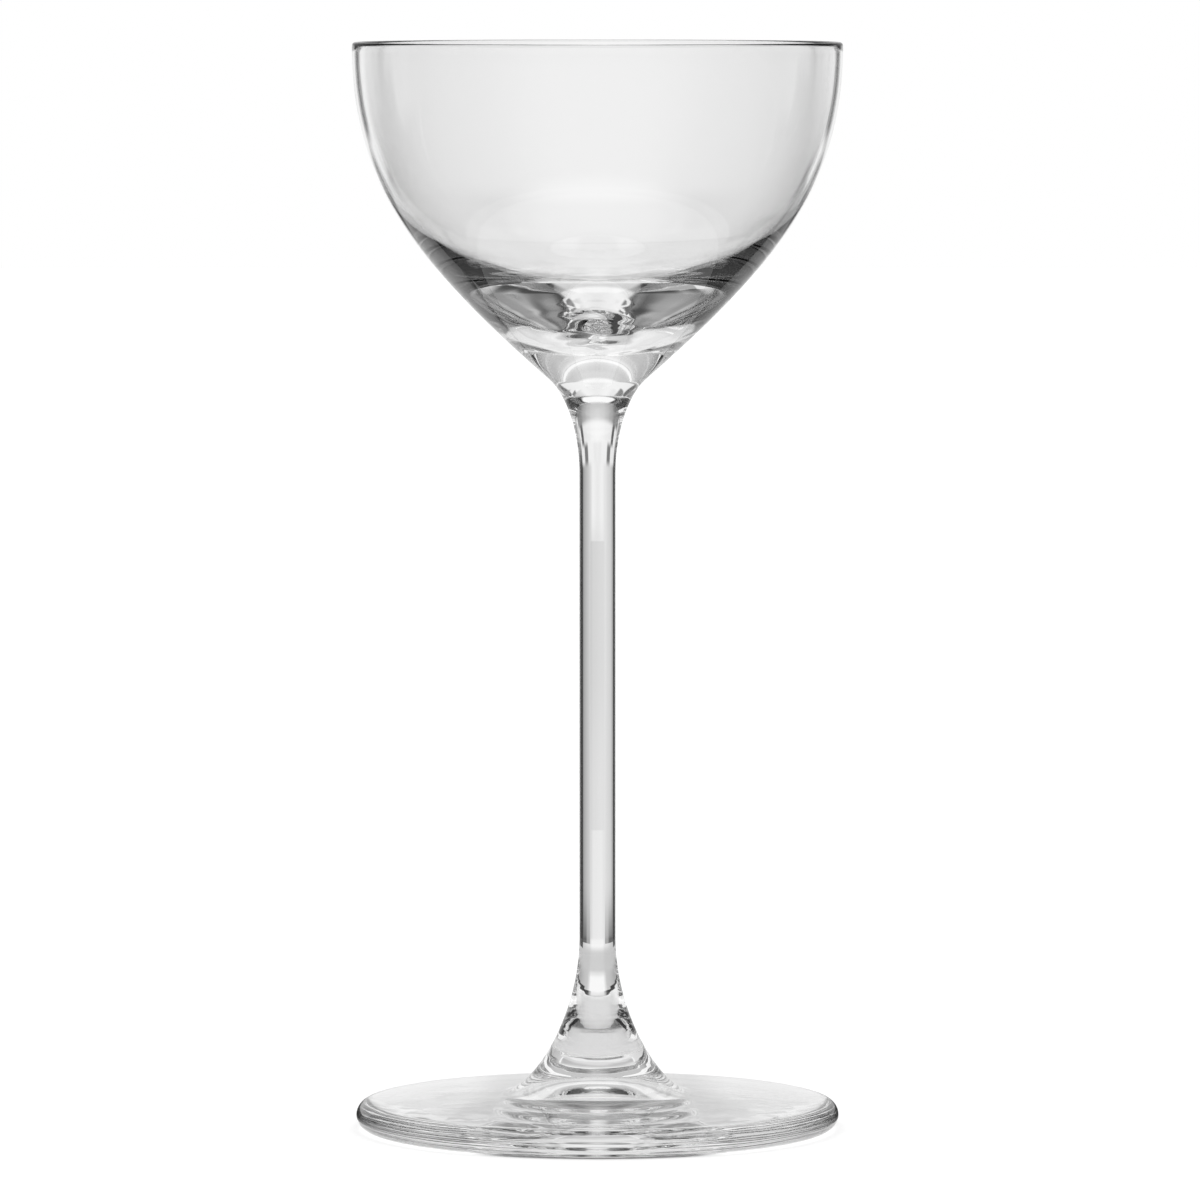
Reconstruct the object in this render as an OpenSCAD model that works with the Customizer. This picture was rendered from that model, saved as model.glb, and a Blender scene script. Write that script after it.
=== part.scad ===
// Stemmed cocktail glass: a deep round bowl with a fine rim, a slim drawn stem and a thick round foot.
// Three pieces of clear glass, formed one by one and fused end to end while hot.
// Origin: centre of the resting ring under the foot. +Z runs up the stem to the rim.

/* [Overall] */
// Height of the whole glass, from the table to the rim
glass_h = 178; // [165:1:200]

/* [Bowl] */
// Outside diameter at the rim
rim_d = 80; // [72:1:90]
// Thickness of the wall at the rim, which is fire-polished to a full round
rim_wall = 1.2; // [0.8:0.1:2]
// Height of the bowl's outside, from the top of the neck up to the rim
bowl_h = 55.1; // [50:0.1:60]
// Glass under the middle of the hollow's floor, down to the top of the neck
base_h = 9; // [8:0.1:13]
// How far down the outside wall stays upright before it turns in
side_reach = 22; // [16:0.5:28]
// How far up from the neck the flank stays straight before it turns upright
flank_reach = 29.7; // [24:0.1:34]
// Lean of the flank from upright, where it reaches the neck, in degrees
flank_angle = 48.7; // [42:0.1:54]
// How far down the inside wall stays upright before it turns in
hollow_side_reach = 26.4; // [20:0.1:28]
// How far up from the hollow's floor the inside wall keeps the floor's lean
hollow_side_low_reach = 4.1; // [2:0.1:6]
// Diameter of the hollow's floor, where it meets the inside wall
hollow_floor_d = 38; // [32:0.5:42]
// Rise of the hollow's floor from its middle to the inside wall
hollow_floor_rise = 7.1; // [6.5:0.1:8]
// Lean of the hollow's floor from level, where it meets the inside wall, in degrees
hollow_floor_lean = 26; // [22:0.5:28]
// How far in from the inside wall the hollow's floor keeps its lean
hollow_floor_reach = 13.4; // [8:0.1:14]
// How far out from its middle the hollow's floor stays level
hollow_floor_level_reach = 3.8; // [2:0.1:5]

/* [Stem] */
// Diameter of the straight part of the stem
stem_d = 5.9; // [4.5:0.1:8]
// Diameter at the top of the neck, where the bowl's flank ends
neck_d = 15.5; // [13:0.1:19]
// Height of the neck, from the straight stem up to the flank
neck_h = 15.5; // [12:0.5:22]
// How far down the neck keeps the flank's lean before it turns upright
neck_top_reach = 2.3; // [1:0.1:4]
// How far up from the straight stem the neck stays upright
neck_low_reach = 8.8; // [6:0.1:11]

/* [Foot] */
// Diameter of the foot
foot_d = 79.2; // [72:0.1:90]
// Thickness at the foot's edge, which is a full round
foot_edge_h = 4.6; // [3:0.1:5.4]
// Rise of the foot's top from its edge towards the flare, in degrees
foot_slope = 3.3; // [2:0.1:5]
// Diameter where the flare of the stem meets the foot's top
flare_d = 32; // [28:1:38]
// Height of the flare, from the foot's top up to the straight stem
flare_h = 25.8; // [20:0.1:32]
// How far down from the straight stem the flare stays upright
flare_top_reach = 12.9; // [8:0.1:16]
// How far in from the foot's top the flare keeps the top's slope
flare_low_reach = 5.6; // [3:0.1:8]
// Width of the flat ring that the glass rests on
rest_ring_w = 6; // [3:0.1:8]
// Rise that the underside would have from the resting ring to its middle, without the punt
underside_h = 0.5; // [0.3:0.1:1.5]
// Diameter of the punt, the hollow that is pressed up under the stem
punt_d = 32; // [26:0.5:36]
// Height of the punt above the underside round it
punt_h = 5; // [3:0.1:6]
// How far out from its middle the punt's top stays level
punt_top_reach = 7.2; // [4:0.1:8]
// How far in from its rim the punt keeps the underside's slope
punt_low_reach = 7.2; // [4:0.1:8]

/* [Smoothness] */
// Straight steps in each curve of an outline
curve_steps = 32; // [16:4:48]
// Sides of each round solid where it is shown as a mesh
round_sides = 128; // [64:8:192]

/* [Hidden] */
$fn = round_sides;

// Share of the neck's curve that belongs to the bowl, down to the upper fused joint
bowl_neck_share = 0.28;
// Share of the flare's curve that belongs to the stem, down to the lower fused joint
stem_flare_share = 0.68;

rim_r = rim_d / 2;
rim_round = rim_wall / 2;
stem_r = stem_d / 2;
foot_edge_round = foot_edge_h / 2;
foot_flat_r = foot_d / 2 - foot_edge_round;
underside_r = foot_flat_r - rest_ring_w;
underside_bend_r = (underside_r * underside_r + underside_h * underside_h) / (2 * underside_h);
underside_bend = [0, underside_h - underside_bend_r];
punt_rim_angle = acos(punt_d / 2 / underside_bend_r);

neck_top_z = glass_h - bowl_h;
neck_low_z = neck_top_z - neck_h;
lip_z = glass_h - rim_round;
hollow_floor_z = neck_top_z + base_h;

flare_low_z = foot_edge_h + (foot_flat_r - flare_d / 2) * tan(foot_slope);
flare_top_z = flare_low_z + flare_h;

// Directions along the bowl's flank and along its hollow's floor, both up and outwards, and along the foot's top, up
// and inwards
flank_way = [sin(flank_angle), cos(flank_angle)];
floor_way = [cos(hollow_floor_lean), sin(hollow_floor_lean)];
foot_way = [-cos(foot_slope), sin(foot_slope)];

// Outline guides, as pairs of radius and height, from the rim down
bowl_outside = [
    [rim_r, lip_z],
    [rim_r, lip_z - side_reach],
    [neck_d / 2, neck_top_z] + flank_reach * flank_way,
    [neck_d / 2, neck_top_z]
];
hollow_edge = [hollow_floor_d / 2, hollow_floor_z + hollow_floor_rise];
hollow_side = [
    [rim_r - rim_wall, lip_z],
    [rim_r - rim_wall, lip_z - hollow_side_reach],
    hollow_edge + hollow_side_low_reach * floor_way,
    hollow_edge
];
hollow_floor = [
    hollow_edge,
    hollow_edge - hollow_floor_reach * floor_way,
    [hollow_floor_level_reach, hollow_floor_z],
    [0, hollow_floor_z]
];
neck = [
    [neck_d / 2, neck_top_z],
    [neck_d / 2, neck_top_z] - neck_top_reach * flank_way,
    [stem_r, neck_low_z + neck_low_reach],
    [stem_r, neck_low_z]
];
flare = [
    [stem_r, flare_top_z],
    [stem_r, flare_top_z - flare_top_reach],
    [flare_d / 2, flare_low_z] + flare_low_reach * foot_way,
    [flare_d / 2, flare_low_z]
];
punt_rim = underside_bend + underside_bend_r * [cos(punt_rim_angle), sin(punt_rim_angle)];
punt = [
    [0, punt_rim.y + punt_h],
    [punt_top_reach, punt_rim.y + punt_h],
    punt_rim + punt_low_reach * [-sin(punt_rim_angle), cos(punt_rim_angle)],
    punt_rim
];

// The point a share of the way from one value or point to another
function between(from, to, share) = from + (to - from) * share;

// The point a share of the way along the smooth curve that a list of guide points pulls
function bend(guides, share) = len(guides) == 1
    ? guides[0]
    : bend([for (i = [1:len(guides) - 1]) between(guides[i - 1], guides[i], share)], share);

// The points of a curve, from one share of it to another
function stretch(guides, from_share, to_share) =
    [for (i = [0:curve_steps]) bend(guides, between(from_share, to_share, i / curve_steps))];

// The points of an arc round a centre, from one angle to another
function arc(centre, radius, from_angle, to_angle) =
    [for (i = [0:curve_steps])
        let (angle = between(from_angle, to_angle, i / curve_steps))
        centre + radius * [cos(angle), sin(angle)]];

// The list backwards
function turned(points) = [for (i = [len(points) - 1:-1:0]) points[i]];

// Height of the upper fused joint, where bowl and stem meet, and of the lower one, where stem and foot meet
upper_joint = bend(neck, bowl_neck_share);
lower_joint = bend(flare, stem_flare_share);

// Thin-walled bowl with a solid base, down to the flat face that is fused to the stem
module bowl() {
    color("whitesmoke")
    rotate_extrude()
    polygon(concat(
        [[0, upper_joint.y]],
        turned(stretch(neck, 0, bowl_neck_share)),
        turned(stretch(bowl_outside, 0, 1)),
        arc([rim_r - rim_round, lip_z], rim_round, 0, 180),
        stretch(hollow_side, 0, 1),
        stretch(hollow_floor, 0, 1)
    ));
}

// Solid stem between the two fused joints, with the neck above it and the flare below it
module stem() {
    color("gainsboro")
    rotate_extrude()
    polygon(concat(
        [[0, lower_joint.y]],
        turned(stretch(flare, 0, stem_flare_share)),
        turned(stretch(neck, bowl_neck_share, 1)),
        [[0, upper_joint.y]]
    ));
}

// Pressed disc with a rounded edge, a resting ring and a punt underneath
module foot() {
    color("lightgray")
    rotate_extrude()
    polygon(concat(
        stretch(punt, 0, 1),
        arc(underside_bend, underside_bend_r, punt_rim_angle, acos(underside_r / underside_bend_r)),
        arc([foot_flat_r, foot_edge_round], foot_edge_round, -90, 90),
        turned(stretch(flare, stem_flare_share, 1)),
        [[0, lower_joint.y]]
    ));
}

bowl();
stem();
foot();
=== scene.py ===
import math

import bmesh
import bpy
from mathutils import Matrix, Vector, noise


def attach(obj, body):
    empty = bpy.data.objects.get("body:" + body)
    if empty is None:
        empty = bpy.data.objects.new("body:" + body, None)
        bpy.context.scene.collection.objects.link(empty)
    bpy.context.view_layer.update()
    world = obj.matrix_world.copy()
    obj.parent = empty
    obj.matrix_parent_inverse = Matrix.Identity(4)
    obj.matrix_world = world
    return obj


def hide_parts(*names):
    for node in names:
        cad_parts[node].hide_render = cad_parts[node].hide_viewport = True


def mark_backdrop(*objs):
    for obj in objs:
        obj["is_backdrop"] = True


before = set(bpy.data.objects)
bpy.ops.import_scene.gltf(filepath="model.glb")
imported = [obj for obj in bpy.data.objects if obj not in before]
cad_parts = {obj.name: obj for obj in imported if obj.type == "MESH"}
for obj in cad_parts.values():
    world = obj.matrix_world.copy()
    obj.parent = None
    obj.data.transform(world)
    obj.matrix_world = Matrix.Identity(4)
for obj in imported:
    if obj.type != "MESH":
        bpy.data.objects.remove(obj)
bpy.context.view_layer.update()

scene = bpy.context.scene

# The photographer's table: a camera well back with a long lens, a white paper sweep with a painted glow, one
# wide soft lamp overhead, and black and grey cards round the glass that glow with painted light and shade.
# Clear glass is only seen by what it bends towards the eye, so the cards draw its outline.
CAMERA_BACK = 1.485
CAMERA_RISE = 0.19346
CAMERA_ASIDE = 0.00041
CAMERA_DIP = math.radians(4.105)
LENS = 273.03
SENSOR = 36
SIGHT = 50

lens = bpy.data.cameras.new("long_lens")
lens.lens, lens.sensor_width, lens.clip_end = LENS, SENSOR, SIGHT
camera = bpy.data.objects.new("camera", lens)
camera.location = (CAMERA_ASIDE, -CAMERA_BACK, CAMERA_RISE)
camera.rotation_euler = (math.radians(90) - CAMERA_DIP, 0, 0)
scene.collection.objects.link(camera)
scene.camera = camera

# Light crosses many skins of a thick glass before it leaves, so it is followed for longer than by default
GLASS_BOUNCES = 32
MIRROR_BOUNCES = 24
scene.view_settings.view_transform = "Standard"
scene.cycles.max_bounces = GLASS_BOUNCES
scene.cycles.transmission_bounces = GLASS_BOUNCES
scene.cycles.transparent_max_bounces = GLASS_BOUNCES
scene.cycles.glossy_bounces = MIRROR_BOUNCES


def linear(colour):
    """The linear colour that a hex sRGB colour stands for."""
    shares = [int(colour[place:place + 2], 16) / 255 for place in (1, 3, 5)]
    return (*[share / 12.92 if share <= 0.04045 else ((share + 0.055) / 1.055) ** 2.4 for share in shares], 1)


def add(tree, kind, settings=None, links=None):
    """A new node, its properties and sockets set from settings, its linked sockets from links."""
    made = tree.nodes.new(kind)
    for name, value in (settings or {}).items():
        if isinstance(name, int) or name in made.inputs:
            made.inputs[name].default_value = value
        else:
            setattr(made, name, value)
    for name, source in (links or {}).items():
        tree.links.new(source, made.inputs[name])
    return made


def material(name):
    """An empty material and its node tree."""
    made = bpy.data.materials.new(name)
    made.use_nodes = True
    made.node_tree.nodes.clear()
    return made, made.node_tree


# The room is white to the eye, straight or through glass, and lights what is matt a little less than that
WHITE = "#ffffff"
ROOM_LIGHT = 0.75

world = bpy.data.worlds.new("white_room")
world.use_nodes = True
scene.world = world
room = world.node_tree
room.nodes.clear()
path = add(room, "ShaderNodeLightPath")
seen = add(room, "ShaderNodeMath", {"operation": "ADD"},
           {0: path.outputs["Is Camera Ray"], 1: path.outputs["Is Glossy Ray"]})
seen = add(room, "ShaderNodeMath", {"operation": "ADD", "use_clamp": True},
           {0: seen.outputs[0], 1: path.outputs["Is Transmission Ray"]})
fresh = add(room, "ShaderNodeMath", {"operation": "LESS_THAN", 1: 0.5}, {0: path.outputs["Diffuse Depth"]})
seen = add(room, "ShaderNodeMath", {"operation": "MULTIPLY"}, {0: seen.outputs[0], 1: fresh.outputs[0]})
level = add(room, "ShaderNodeMix", {2: ROOM_LIGHT, 3: 1.0}, {0: seen.outputs[0]})
walls = add(room, "ShaderNodeBackground", {"Color": linear(WHITE)}, {"Strength": level.outputs[0]})
add(room, "ShaderNodeOutputWorld", links={"Surface": walls.outputs[0]})

LAMP_ANGLE = math.radians(100)
LAMP_LEVEL = 0.35

overhead = bpy.data.lights.new("soft_overhead", "SUN")
overhead.energy, overhead.angle = LAMP_LEVEL * math.pi, LAMP_ANGLE
lamp = bpy.data.objects.new("soft_overhead", overhead)
lamp.visible_glossy = lamp.visible_transmission = lamp.visible_camera = False
scene.collection.objects.link(lamp)

# White paper, matt but glowing in part, so that it keeps the foot's shadow but has no grey horizon. Under the
# foot the glow is painted: painted light under its sides, which it clears, and painted shade under the stem,
# most of all in front of it. A share is how much of the paper's white is that glow, and a pair where it
# changes, in metres.
SWEEP_SIZE = 8
SWEEP_GAP = 0.00005
SWEEP_GLOW = 1.2
SWEEP_COLOUR = "#f9f9f9"
SHEET_SHARE = 0.5
FOOT_PAINTED_LIGHT_SHARE = 0.95
STEM_PAINTED_SHADE_SHARE = 0.5
STEM_PAINTED_SHADE_BACK = (0.001, 0.005)
STEM_PAINTED_SHADE_ASIDE = (0.014, 0.022)
PAINTED_GLOW_REACH = (0.038, 0.040)


def mesh_piece(name, shape, *materials):
    """The bmesh as a new object at the origin, with the materials in its slots."""
    mesh = bpy.data.meshes.new(name)
    shape.to_mesh(mesh)
    shape.free()
    for slot in materials:
        mesh.materials.append(slot)
    piece = bpy.data.objects.new(name, mesh)
    scene.collection.objects.link(piece)
    return piece


paper, tree = material("white_paper_painted_glow")
matt = add(tree, "ShaderNodeBsdfDiffuse", {"Color": linear(SWEEP_COLOUR)})
glow = add(tree, "ShaderNodeEmission", {"Color": linear(WHITE), "Strength": SWEEP_GLOW})
place = add(tree, "ShaderNodeTexCoord")
parts = add(tree, "ShaderNodeSeparateXYZ", links={0: place.outputs["Object"]})
aside = add(tree, "ShaderNodeMath", {"operation": "ABSOLUTE"}, {0: parts.outputs["X"]})
reach = add(tree, "ShaderNodeVectorMath", {"operation": "LENGTH"}, {0: place.outputs["Object"]})
# The glow's share paints shade under the stem, most of all in front of it, and light under the foot's sides
painted_stem_shade = add(tree, "ShaderNodeMapRange",
             {"interpolation_type": "SMOOTHSTEP", 1: STEM_PAINTED_SHADE_BACK[0], 2: STEM_PAINTED_SHADE_BACK[1], 4: STEM_PAINTED_SHADE_SHARE},
             {0: parts.outputs["Y"]})
painted_under_foot = add(tree, "ShaderNodeMapRange",
            {"interpolation_type": "SMOOTHSTEP", 1: STEM_PAINTED_SHADE_ASIDE[0], 2: STEM_PAINTED_SHADE_ASIDE[1], 4: FOOT_PAINTED_LIGHT_SHARE},
            {0: aside.outputs[0], 3: painted_stem_shade.outputs[0]})
open_sheet = add(tree, "ShaderNodeMapRange",
                 {"interpolation_type": "SMOOTHSTEP", 1: PAINTED_GLOW_REACH[0], 2: PAINTED_GLOW_REACH[1]},
                 {0: reach.outputs["Value"]})
share = add(tree, "ShaderNodeMix", {3: SHEET_SHARE}, {0: open_sheet.outputs[0], 2: painted_under_foot.outputs[0]})
sheet = add(tree, "ShaderNodeMixShader", links={0: share.outputs[0], 1: matt.outputs[0], 2: glow.outputs[0]})
add(tree, "ShaderNodeOutputMaterial", links={"Surface": sheet.outputs[0]})

sweep = bmesh.new()
bmesh.ops.create_grid(sweep, x_segments=1, y_segments=1, size=SWEEP_SIZE / 2)
bmesh.ops.translate(sweep, verts=sweep.verts, vec=(0, 0, -SWEEP_GAP))
mesh_piece("paper_sweep", sweep, paper)

# Black and grey cards stand round the glass on one turntable that faces the camera, and only light that
# passes the glass meets them. A card glows, though it is no lamp, in bands of painted light and shade: the
# two heights that a band fades in between, in metres, and its brightness at angles round the glass, in
# degrees to the right from straight behind it.
turntable = bpy.data.objects.new("turntable", None)
scene.collection.objects.link(turntable)
facing = turntable.constraints.new("LOCKED_TRACK")
facing.target, facing.track_axis, facing.lock_axis = camera, "TRACK_NEGATIVE_Y", "LOCK_Z"

CARD_PLACE = "card_place"
CARD_STEPS = 36


def bearing(place):
    """The angle round the glass from straight behind it, in degrees, to the right of the picture."""
    return math.degrees(math.atan2(place.x, place.y))


def card_painted_glow(name, start, end, bands):
    """A card's even glow: painted light and shade in bands, from one angle round the glass to another."""
    made, tree = material(name)
    place = add(tree, "ShaderNodeUVMap", {"uv_map": CARD_PLACE})
    parts = add(tree, "ShaderNodeSeparateXYZ", links={0: place.outputs[0]})
    along = add(tree, "ShaderNodeMapRange", {1: start, 2: end}, {0: parts.outputs["X"]})
    tone = None
    for low, high, stops in bands:
        ramp = add(tree, "ShaderNodeValToRGB", links={0: along.outputs[0]})
        ramp.color_ramp.interpolation = "EASE"
        points = ramp.color_ramp.elements
        while len(points) < len(stops):
            points.new(0.5)
        for point, (angle, value) in zip(points, stops):
            point.position, point.color = (angle - start) / (end - start), (value, value, value, 1)
        if tone is None:
            tone = ramp.outputs[0]
            continue
        fade = add(tree, "ShaderNodeMapRange", {"interpolation_type": "SMOOTHSTEP", 1: low, 2: high},
                   {0: parts.outputs["Y"]})
        tone = add(tree, "ShaderNodeMix", {"data_type": "RGBA"},
                   {0: fade.outputs[0], 6: tone, 7: ramp.outputs[0]}).outputs[2]
    card_glow = add(tree, "ShaderNodeEmission", {"Strength": 1.0}, {"Color": tone})
    add(tree, "ShaderNodeOutputMaterial", links={"Surface": card_glow.outputs[0]})
    return made


def card(low, high, start, end, card_glow_material, steps=CARD_STEPS):
    """A card round the glass: a line from one radius and height to another, spun between two angles.

    Its UV map holds the angle and the height, or on a card that lies flat the angle and the radius.
    """
    shape = bmesh.new()
    turn = math.radians(start)
    corners = [(reach * math.sin(turn), reach * math.cos(turn), rise) for reach, rise in (low, high)]
    ends = [shape.verts.new(corner) for corner in corners]
    edge = shape.edges.new(ends)
    bmesh.ops.spin(shape, geom=ends + [edge], cent=(0, 0, 0), axis=(0, 0, 1), angle=math.radians(start - end),
                   steps=steps)
    uv_map = shape.loops.layers.uv.new(CARD_PLACE)
    for face in shape.faces:
        middle = bearing(face.calc_center_median())
        for loop in face.loops:
            corner = loop.vert.co
            turn = middle + (bearing(corner) - middle + 180) % 360 - 180
            loop[uv_map].uv = (turn, corner.z if low[1] != high[1] else corner.xy.length)
    made = mesh_piece(card_glow_material.name, shape, card_glow_material)
    made.parent = turntable
    made.visible_camera = made.visible_diffuse = made.visible_shadow = made.visible_volume_scatter = False
    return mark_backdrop(made)


def on_side(side, stops):
    """Stops of angle and brightness on the left side, -1, or on the right side, 1."""
    return tuple((side * angle, value) for angle, value in stops)


CARD_LOW = -0.02
CARD_TOP = 0.84
SIDE_CARD_REACH = 0.15
BACK_CARD_REACH = 0.20
FAR_CARD_REACH = 0.50
BLACK_LEFT = 49
BLACK_RIGHT = 43
BLACK = 0.03
BLACK_SIDE = ((105, BLACK), (160, 0.35), (180, 0.35))
# The two black cards begin at different angles, so a band gives its brightness there before its stops
BLACK_CARD_PAINTED_LIGHT_BANDS = (
    (0, 0.085, BLACK, BLACK_SIDE),
    (0.1, 0.172, 0.85, ((55, 0.6), (63, 0.25), (72, 0.04)) + BLACK_SIDE),
    (0.19, 0.21, BLACK, BLACK_SIDE),
    (0.35, 0.42, 1.0, ((180, 1.0),)),
)
for side, begin in ((-1, BLACK_LEFT), (1, BLACK_RIGHT)):
    bands = [(low, high, on_side(side, ((begin, first),) + stops))
             for low, high, first, stops in BLACK_CARD_PAINTED_LIGHT_BANDS]
    card((SIDE_CARD_REACH, CARD_LOW), (SIDE_CARD_REACH, CARD_TOP), side * begin, side * 180,
         card_painted_glow("black_card_painted_light", side * begin, side * 180, bands))

# The grey card behind the glass has a window low in its middle, where a second one shows from far behind
BACK_LEFT = -62
BACK_RIGHT = 56
WINDOW_ANGLE = 17
WINDOW_TOP = 0.084
BACK_CARD_PAINTED_LIGHT_BANDS = (
    (0, 0, (
        (BACK_LEFT, 0.1), (-32, 0.12), (-24, 0.4), (24, 0.4), (30, 0.12), (BACK_RIGHT, 0.1))),
    (0.005, 0.02, (
        (BACK_LEFT, 0.4), (-46, 0.4), (-36, 0.68), (-27, 0.73), (-17, 0.78), (17, 0.66), (22, 0.6),
        (28, 0.52), (36, 0.42), (44, 0.2), (BACK_RIGHT, 0.1))),
    (0.078, 0.09, (
        (BACK_LEFT, 0.4), (-46, 0.4), (-36, 0.68), (-27, 0.73), (-17, 0.82), (-10, 0.92), (0, 0.86),
        (10, 0.92), (17, 0.7), (22, 0.6), (28, 0.52), (36, 0.42), (44, 0.2), (BACK_RIGHT, 0.1))),
    (0.104, 0.116, (
        (BACK_LEFT, 0.8), (-40, 0.9), (-32, 0.9), (-29, 0.2), (-22, 0.2), (-19, 0.92), (-10, 0.92),
        (-5, 0.86), (0, 0.88), (5, 0.86),
        (10, 0.92), (19, 0.92), (22, 0.2), (29, 0.2), (32, 0.9), (40, 0.9), (BACK_RIGHT, 0.8))),
    (0.132, 0.145, (
        (BACK_LEFT, 0.85), (-42, 0.92), (-39, 0.92), (-36, 0.12), (-31, 0.12), (-28, 0.87), (-15, 0.91),
        (-9, 0.95), (0, 0.97), (9, 0.95),
        (15, 0.9), (28, 0.85), (31, 0.12), (36, 0.12), (39, 0.92), (42, 0.92), (BACK_RIGHT, 0.85))),
    (0.17, 0.192, (
        (BACK_LEFT, 0.1), (-32, 0.25), (-22, 0.42), (-15, 0.54), (-8, 0.64), (0, 0.69),
        (8, 0.64), (15, 0.54), (22, 0.42), (32, 0.25), (BACK_RIGHT, 0.1))),
    (0.21, 0.24, (
        (BACK_LEFT, 0.1), (-32, 0.2), (-22, 0.4), (-15, 0.5), (-8, 0.6), (0, 0.6),
        (8, 0.6), (15, 0.5), (22, 0.4), (32, 0.2), (BACK_RIGHT, 0.1))),
    (0.36, 0.6, (
        (BACK_LEFT, 1.0), (BACK_RIGHT, 1.0))),
)
FAR_CARD_PAINTED_LIGHT_BANDS = (
    (0, 0, ((-WINDOW_ANGLE, 0.78), (-8, 0.79), (8, 0.75), (WINDOW_ANGLE, 0.68))),
    (0.01, 0.04, ((-WINDOW_ANGLE, 0.75), (-8, 0.73), (8, 0.69), (WINDOW_ANGLE, 0.62))),
    (0.06, 0.12, ((-WINDOW_ANGLE, 0.54), (-8, 0.58), (8, 0.58), (WINDOW_ANGLE, 0.5))),
    (0.15, 0.2, ((-WINDOW_ANGLE, 0.72), (-8, 0.76), (8, 0.76), (WINDOW_ANGLE, 0.7))),
)
back_card_painted_glow = card_painted_glow("back_grey_card_painted_light", BACK_LEFT, BACK_RIGHT, BACK_CARD_PAINTED_LIGHT_BANDS)
card((BACK_CARD_REACH, WINDOW_TOP), (BACK_CARD_REACH, CARD_TOP), BACK_LEFT, BACK_RIGHT, back_card_painted_glow)
card((BACK_CARD_REACH, CARD_LOW), (BACK_CARD_REACH, WINDOW_TOP), BACK_LEFT, -WINDOW_ANGLE, back_card_painted_glow)
card((BACK_CARD_REACH, CARD_LOW), (BACK_CARD_REACH, WINDOW_TOP), WINDOW_ANGLE, BACK_RIGHT, back_card_painted_glow)
card((FAR_CARD_REACH, CARD_LOW), (FAR_CARD_REACH, CARD_TOP), -WINDOW_ANGLE, WINDOW_ANGLE,
     card_painted_glow("far_grey_card_painted_light", -WINDOW_ANGLE, WINDOW_ANGLE, FAR_CARD_PAINTED_LIGHT_BANDS))

# Grey card lies on the table too, because the foot and the bowl's wall also look down there. It begins just
# past the foot with a painted shadow of the foot, darker to the sides than straight behind it, where a low
# black hoop draws the foot's edge. On a card that lies flat, a band goes by radius instead of height.
TABLE_CARD_NEAR = 0.0415
TABLE_CARD_LIFT = 0.0003
TABLE_CARD_STEPS = 72
TABLE_PAINTED_SHADOW_AND_LIGHT_BANDS = (
    (0, 0, (
        (-180, 0.4), (-90, 0.2), (-20, 0.15), (-9, 0.6), (9, 0.6), (20, 0.15), (90, 0.2), (180, 0.4))),
    (0.042, 0.045, (
        (-180, 0.5), (-90, 0.45), (-25, 0.5), (-12, 0.65), (12, 0.65), (25, 0.5), (90, 0.45), (180, 0.5))),
    (0.046, 0.054, (
        (-180, 0.6), (-90, 0.45), (-45, 0.45), (-18, 0.6), (-11, 1.0),
        (11, 1.0), (18, 0.6), (45, 0.45), (90, 0.45), (180, 0.6))),
    (0.07, 0.09, (
        (-180, 0.7), (-90, 0.6), (-45, 0.6), (-18, 0.6), (-11, 0.65),
        (11, 0.65), (18, 0.6), (45, 0.6), (90, 0.6), (180, 0.7))),
    (0.14, 0.19, (
        (-180, 0.7), (-90, 0.6), (-45, 0.6), (-18, 0.8), (-11, 0.95),
        (11, 0.95), (18, 0.8), (45, 0.6), (90, 0.6), (180, 0.7))),
)
FAR_TABLE_PAINTED_LIGHT_BANDS = (
    (0, 0, ((-WINDOW_ANGLE, 0.84), (-11, 0.93), (11, 0.93), (WINDOW_ANGLE, 0.78))),
    (0.22, 0.28, ((-WINDOW_ANGLE, 0.8), (-8, 0.87), (8, 0.85), (WINDOW_ANGLE, 0.7))),
)
card((TABLE_CARD_NEAR, TABLE_CARD_LIFT), (BACK_CARD_REACH, TABLE_CARD_LIFT), -180, 180,
     card_painted_glow("grey_table_card_painted_shadow", -180, 180, TABLE_PAINTED_SHADOW_AND_LIGHT_BANDS), TABLE_CARD_STEPS)
card((BACK_CARD_REACH, TABLE_CARD_LIFT), (FAR_CARD_REACH, TABLE_CARD_LIFT), -WINDOW_ANGLE, WINDOW_ANGLE,
     card_painted_glow("far_table_card_painted_light", -WINDOW_ANGLE, WINDOW_ANGLE, FAR_TABLE_PAINTED_LIGHT_BANDS))

# A low black hoop just past the foot, a dark sheet put in the foot's shade and seen only in the glass, draws
# the foot's dark edge with painted shade
HOOP_REACH = 0.044
HOOP_TOP = 0.004
HOOP_BEGIN = 10
HOOP_PAINTED_SHADE_TONES = ((HOOP_BEGIN, 0.6), (16, 0.05), (150, 0.05), (180, 0.5))
for side in (-1, 1):
    card((HOOP_REACH, TABLE_CARD_LIFT), (HOOP_REACH, HOOP_TOP), side * HOOP_BEGIN, side * 180,
         card_painted_glow("black_hoop_painted_shade", side * HOOP_BEGIN, side * 180, ((0, 0, on_side(side, HOOP_PAINTED_SHADE_TONES)),)))

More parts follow.
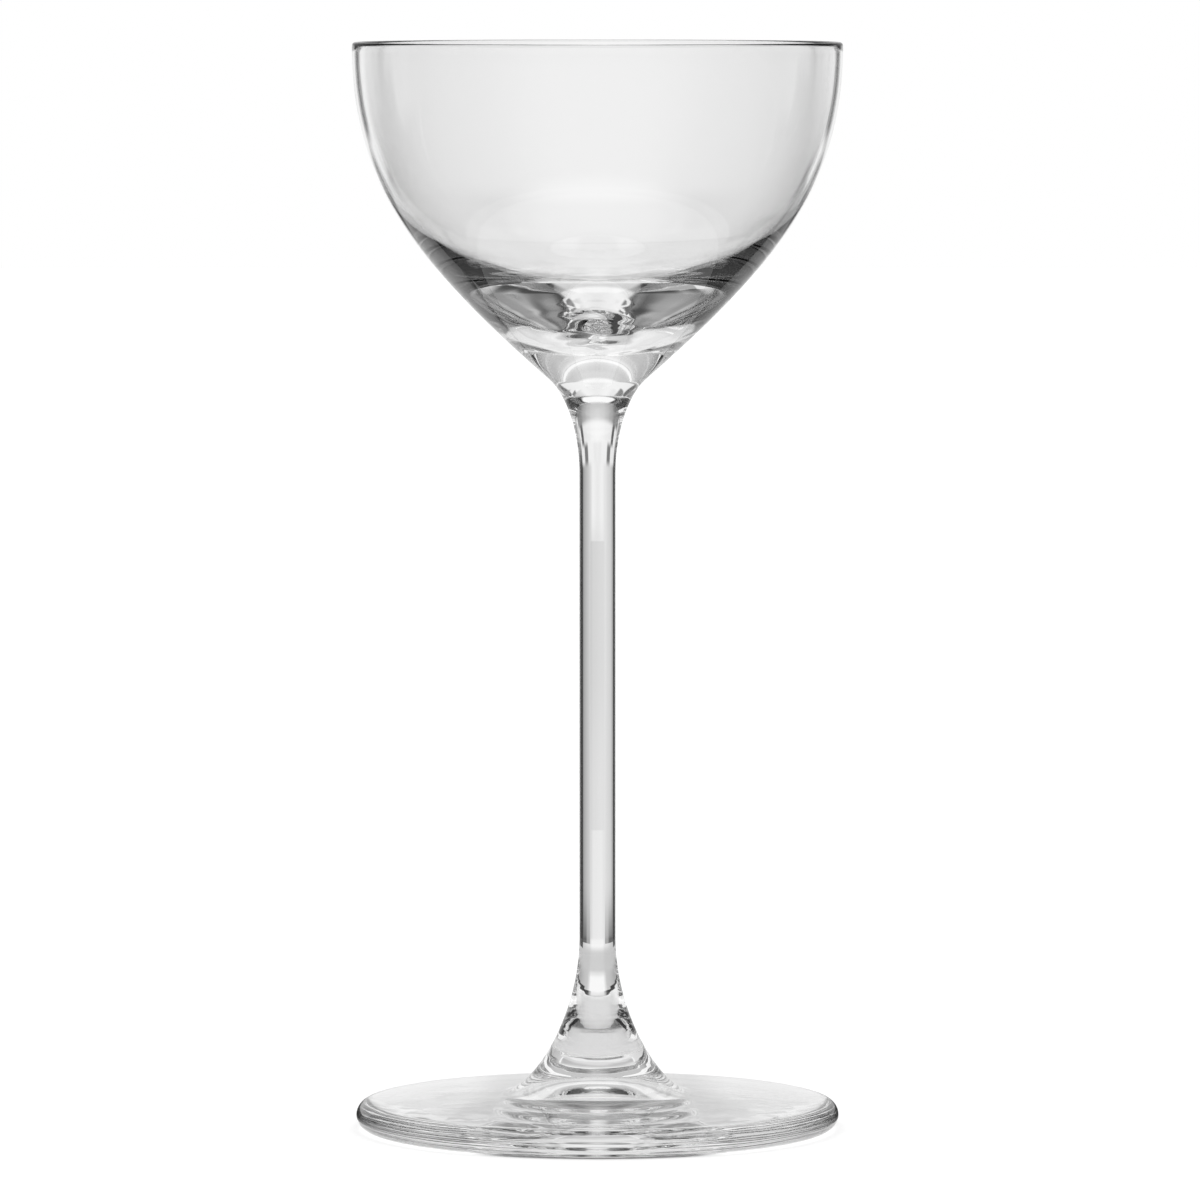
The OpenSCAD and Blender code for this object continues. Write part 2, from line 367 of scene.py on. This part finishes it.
# The bowl: clear crystal glass, blown in a turning mould, its rim cut and fire-polished round. Its thick base
# is left solid, down to the flat face where it is fused to the stem. Sizes from here on are in mm.
MM = 0.001
GLASS_H = 178.0
RIM_D = 80.0
RIM_WALL = 1.2
BOWL_H = 55.1
BASE_H = 9.0
SIDE_REACH = 22.0
FLANK_REACH = 29.7
FLANK_ANGLE = math.radians(48.7)
HOLLOW_SIDE_REACH = 26.4
HOLLOW_SIDE_LOW_REACH = 4.1
HOLLOW_FLOOR_D = 38.0
HOLLOW_FLOOR_RISE = 7.1
HOLLOW_FLOOR_LEAN = math.radians(26)
HOLLOW_FLOOR_REACH = 13.4
HOLLOW_FLOOR_LEVEL_REACH = 3.8
STEM_D = 5.9
NECK_D = 15.5
NECK_H = 15.5
NECK_TOP_REACH = 2.3
NECK_LOW_REACH = 8.8
BOWL_NECK_SHARE = 0.28


def bend(guides, share):
    """The point a share of the way along the smooth curve that a list of guide points pulls."""
    points = [Vector(point) for point in guides]
    while len(points) > 1:
        points = [near.lerp(far, share) for near, far in zip(points, points[1:])]
    return points[0]


def stretch(guides, start, end, steps):
    """The points of a curve, from one share of it to another."""
    return [bend(guides, start + (end - start) * step / steps) for step in range(steps + 1)]


def arc(centre, radius, start, end, steps):
    """The points of an arc round a centre, from one angle to another, in degrees."""
    turns = [math.radians(start + (end - start) * step / steps) for step in range(steps + 1)]
    return [Vector((centre[0] + radius * math.cos(turn), centre[1] + radius * math.sin(turn)))
            for turn in turns]


ROUND_STEPS = 256
CREASE = math.radians(25)
WELD = 1e-6
SAME_POINT = 1e-4
JOINT_STILL = 0.1
JOINT_CALM = 1.0


def faded(value, start, end):
    """How far a value is on its way from start to end, smoothed, from 0 to 1."""
    way = min(max((value - start) / (end - start), 0), 1)
    return way * way * (3 - 2 * way)


def blown(name, outline, joints, relief, *finishes):
    """A closed solid of glass: an outline of radii and heights in mm, spun round the stem's axis.

    The relief gives how far the hot glass was left out of true at a place. It dies out at the fused joints.
    """
    line = [outline[0]]
    line += [point for last, point in zip(outline, outline[1:]) if (point - last).length > SAME_POINT]
    shape = bmesh.new()
    points = [shape.verts.new((point.x * MM, 0, point.y * MM)) for point in line]
    lines = [shape.edges.new(pair) for pair in zip(points, points[1:])]
    bmesh.ops.spin(shape, geom=points + lines, cent=(0, 0, 0), axis=(0, 0, 1), angle=math.tau,
                   steps=ROUND_STEPS, use_merge=True)
    bmesh.ops.remove_doubles(shape, verts=shape.verts, dist=WELD)
    bmesh.ops.recalc_face_normals(shape, faces=shape.faces)
    shape.normal_update()
    for corner in shape.verts:
        place = corner.co / MM
        off_joint = min(faded(abs(place.z - joint), JOINT_STILL, JOINT_CALM) for joint in joints)
        corner.co += corner.normal * relief(place) * off_joint * MM
    for face in shape.faces:
        at_joint = any(all(abs(corner.co.z - joint * MM) < WELD for corner in face.verts) for joint in joints)
        face.smooth = not at_joint
        face.material_index = int(at_joint)
    for edge in shape.edges:
        edge.smooth = edge.calc_face_angle(0) < CREASE
    return mesh_piece(name, shape, *finishes)


flank_way = Vector((math.sin(FLANK_ANGLE), math.cos(FLANK_ANGLE)))
floor_way = Vector((math.cos(HOLLOW_FLOOR_LEAN), math.sin(HOLLOW_FLOOR_LEAN)))
rim_r, rim_round, neck_top_z = RIM_D / 2, RIM_WALL / 2, GLASS_H - BOWL_H
lip_z, neck_low_z, floor_z = GLASS_H - rim_round, neck_top_z - NECK_H, neck_top_z + BASE_H
neck_top = Vector((NECK_D / 2, neck_top_z))
outside = [(rim_r, lip_z), (rim_r, lip_z - SIDE_REACH), neck_top + FLANK_REACH * flank_way, neck_top]
neck = [neck_top, neck_top - NECK_TOP_REACH * flank_way, (STEM_D / 2, neck_low_z + NECK_LOW_REACH),
        (STEM_D / 2, neck_low_z)]
floor_edge = Vector((HOLLOW_FLOOR_D / 2, floor_z + HOLLOW_FLOOR_RISE))
hollow_side = [(rim_r - RIM_WALL, lip_z), (rim_r - RIM_WALL, lip_z - HOLLOW_SIDE_REACH),
               floor_edge + HOLLOW_SIDE_LOW_REACH * floor_way, floor_edge]
hollow_floor = [floor_edge, floor_edge - HOLLOW_FLOOR_REACH * floor_way, (HOLLOW_FLOOR_LEVEL_REACH, floor_z),
                (0, floor_z)]
upper_joint = bend(neck, BOWL_NECK_SHARE)

BOWL_NECK_STEPS = 24
SIDE_STEPS = 70
RIM_STEPS = 12
FLOOR_STEPS = 36
bowl_outline = (
    [Vector((0, upper_joint.y))]
    + stretch(neck, BOWL_NECK_SHARE, 0, BOWL_NECK_STEPS)
    + stretch(outside, 1, 0, SIDE_STEPS)
    + arc((rim_r - rim_round, lip_z), rim_round, 0, 180, RIM_STEPS)
    + stretch(hollow_side, 0, 1, SIDE_STEPS)
    + stretch(hollow_floor, 0, 1, FLOOR_STEPS)
)

GLASS_IOR = 1.52
GLASS_COLOUR = "#ffffff"
GRAIN_DETAIL = 2.0


def crystal(name, grain, height):
    """Clear crystal glass with a faint grain in its skin, of a size along each axis and a height, in mm."""
    made, tree = material(name)
    place = add(tree, "ShaderNodeTexCoord")
    per_metre = [1 / (size * MM) for size in grain]
    counted = add(tree, "ShaderNodeVectorMath", {"operation": "MULTIPLY", 1: per_metre},
                  {0: place.outputs["Object"]})
    bumps = add(tree, "ShaderNodeTexNoise", {"Scale": 1.0, "Detail": GRAIN_DETAIL},
                {"Vector": counted.outputs[0]})
    skin = add(tree, "ShaderNodeBump", {"Strength": 1.0, "Distance": height * MM},
               {"Height": bumps.outputs["Fac"]})
    body = add(tree, "ShaderNodeBsdfPrincipled", {
        "Base Color": linear(GLASS_COLOUR), "Roughness": 0.0, "IOR": GLASS_IOR, "Transmission Weight": 1.0},
        {"Normal": skin.outputs[0]})
    add(tree, "ShaderNodeOutputMaterial", links={"Surface": body.outputs[0]})
    return made


# Fused while hot, two pieces have no surface left between them, so light goes straight through
fused_glass, tree = material("fused_hot_glass")
gone = add(tree, "ShaderNodeBsdfTransparent", {"Color": linear(WHITE)})
add(tree, "ShaderNodeOutputMaterial", links={"Surface": gone.outputs[0]})

CORD_H = 0.12
CORD_W = 2.0
CORD_TURNS = 1.3
CORD_SWAY = 1.4
CORD_SWAY_W = 7.0
CORD_CALM = 6.0
CORD_CLEAR = 1.0


def cords(place):
    """The cords left in the floor of the hollow, where the glass chilled while it still turned."""
    reach = place.xy.length
    outside_reach = NECK_D / 2 + (place.z - neck_top_z) * math.tan(FLANK_ANGLE)
    if place.z < floor_z - CORD_CLEAR or reach > outside_reach - CORD_CLEAR:
        return 0
    sway = CORD_SWAY * noise.noise(place / CORD_SWAY_W)
    turn = math.atan2(place.y, place.x)
    swirl = Vector((CORD_TURNS * math.cos(turn), CORD_TURNS * math.sin(turn), reach / CORD_W + sway))
    return CORD_H * noise.noise(swirl) * faded(reach, HOLLOW_FLOOR_D / 2, HOLLOW_FLOOR_D / 2 - CORD_CALM)


# Blown and polished in a wet mould: a skin so even that it only makes the white behind it swim a little
BLOWN_GRAIN = (8.33, 8.33, 6.25)
BLOWN_GRAIN_H = 0.004
bowl = blown("blown_bowl", bowl_outline, [upper_joint.y], cords,
             crystal("blown_crystal_glass", BLOWN_GRAIN, BLOWN_GRAIN_H), fused_glass)
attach(bowl, "root")
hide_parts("bowl")

# The stem: a rod of the same glass, drawn down hot, with the neck that was pulled from the bowl's base above
# it, and the flare that was pushed onto the foot below it. Both ends are fused.
FOOT_D = 79.2
FOOT_EDGE_H = 4.6
FOOT_SLOPE = math.radians(3.3)
FLARE_D = 32.0
FLARE_H = 25.8
FLARE_TOP_REACH = 12.9
FLARE_LOW_REACH = 5.6
STEM_FLARE_SHARE = 0.68
FLARE_STEPS = 130
STEM_NECK_STEPS = 50

edge_round = FOOT_EDGE_H / 2
flat_r = FOOT_D / 2 - edge_round
foot_way = Vector((-math.cos(FOOT_SLOPE), math.sin(FOOT_SLOPE)))
flare_low = Vector((FLARE_D / 2, FOOT_EDGE_H + (flat_r - FLARE_D / 2) * math.tan(FOOT_SLOPE)))
flare_top_z = flare_low.y + FLARE_H
flare = [(STEM_D / 2, flare_top_z), (STEM_D / 2, flare_top_z - FLARE_TOP_REACH),
         flare_low + FLARE_LOW_REACH * foot_way, flare_low]
lower_joint = bend(flare, STEM_FLARE_SHARE)
stem_outline = (
    [Vector((0, lower_joint.y))]
    + stretch(flare, STEM_FLARE_SHARE, 0, FLARE_STEPS)
    + stretch(neck, 1, BOWL_NECK_SHARE, STEM_NECK_STEPS)
    + [Vector((0, upper_joint.y))]
)

RING_H = 0.012
RING_W = 0.55
RING_SWAY = 1.2
RING_FULL = 6.0


def rings(place):
    """The fine rings that the tool left in the flare while the glass turned. They fade out up the stem."""
    turn = math.atan2(place.y, place.x)
    swirl = Vector((RING_SWAY * math.cos(turn), RING_SWAY * math.sin(turn), place.z / RING_W))
    return RING_H * noise.noise(swirl) * faded(place.z, flare_top_z, flare_low.y + RING_FULL)


# Drawn hot, without a tool: long faint lines that run up the stem and keep the light in it from looking flat
DRAWN_GRAIN = (1.43, 1.43, 33.3)
DRAWN_GRAIN_H = 0.004
stem = blown("drawn_stem", stem_outline, [lower_joint.y, upper_joint.y], rings,
             crystal("drawn_crystal_glass", DRAWN_GRAIN, DRAWN_GRAIN_H), fused_glass)
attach(stem, "root")
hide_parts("stem")

# The foot: a gather of glass pressed into a disc, its edge melted round. It stands on a flat ring near its
# edge, inside which its underside is slightly hollow. A punt, a deeper hollow, is pressed up under the stem.
REST_RING_W = 6.0
UNDERSIDE_H = 0.5
PUNT_R = 16.0
PUNT_H = 5.0
PUNT_TOP_REACH = 7.2
PUNT_LOW_REACH = 7.2
PUNT_STEPS = 50
UNDERSIDE_STEPS = 20
EDGE_STEPS = 24
TOP_STEPS = 24
FOOT_FLARE_STEPS = 60

underside_r = flat_r - REST_RING_W
dome_r = (underside_r ** 2 + UNDERSIDE_H ** 2) / (2 * UNDERSIDE_H)
dome_edge = math.degrees(math.acos(underside_r / dome_r))
punt_turn = math.acos(PUNT_R / dome_r)
punt_rim = Vector((PUNT_R, UNDERSIDE_H - dome_r + dome_r * math.sin(punt_turn)))
punt_way = Vector((-math.sin(punt_turn), math.cos(punt_turn)))
punt_top_z = punt_rim.y + PUNT_H
punt = [(0, punt_top_z), (PUNT_TOP_REACH, punt_top_z), punt_rim + PUNT_LOW_REACH * punt_way, punt_rim]
top_edge = Vector((flat_r, FOOT_EDGE_H))
foot_outline = (
    stretch(punt, 0, 1, PUNT_STEPS)
    + arc((0, UNDERSIDE_H - dome_r), dome_r, math.degrees(punt_turn), dome_edge, UNDERSIDE_STEPS)
    + [Vector((underside_r + REST_RING_W / 2, 0))]
    + arc((flat_r, edge_round), edge_round, -90, 90, EDGE_STEPS)
    + [flare_low + (top_edge - flare_low) * step / TOP_STEPS for step in range(TOP_STEPS - 1, 0, -1)]
    + stretch(flare, 1, STEM_FLARE_SHARE, FOOT_FLARE_STEPS)
    + [Vector((0, lower_joint.y))]
)

MARK_H = 0.03
MARK_W = 8.0
SMALL_MARK_SHARE = 1 / 5
SMALL_MARKS = 3
MARK_CALM = 3.0
WAVE_H = 0.02
WAVE_W = 9.0
EDGE_FULL = 0.5
EDGE_FULL_H = 0.8


def marks(place):
    """The soft unevenness of pressing and fire-polishing: marks inside the foot's edge and waves round it."""
    reach = place.xy.length
    inside = faded(reach, underside_r, underside_r - MARK_CALM)
    mark = MARK_H * noise.noise(place / MARK_W)
    mark += MARK_H * SMALL_MARK_SHARE * noise.noise(place * SMALL_MARKS / MARK_W)
    wave = WAVE_H * (noise.noise(Vector((place.x / WAVE_W, place.y / WAVE_W, place.z))) - 1)
    at_edge = faded(reach, flat_r, flat_r + EDGE_FULL) * faded(place.z, 0, EDGE_FULL_H)
    return mark * inside + rings(place) * inside + wave * at_edge


# Pressed, then polished in the flame: its skin keeps a soft grain that breaks up what the foot's top mirrors
PRESSED_GRAIN = (3.33, 3.33, 3.33)
PRESSED_GRAIN_H = 0.003
foot = blown("pressed_foot", foot_outline, [lower_joint.y], marks,
             crystal("pressed_crystal_glass", PRESSED_GRAIN, PRESSED_GRAIN_H), fused_glass)
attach(foot, "root")
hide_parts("foot")
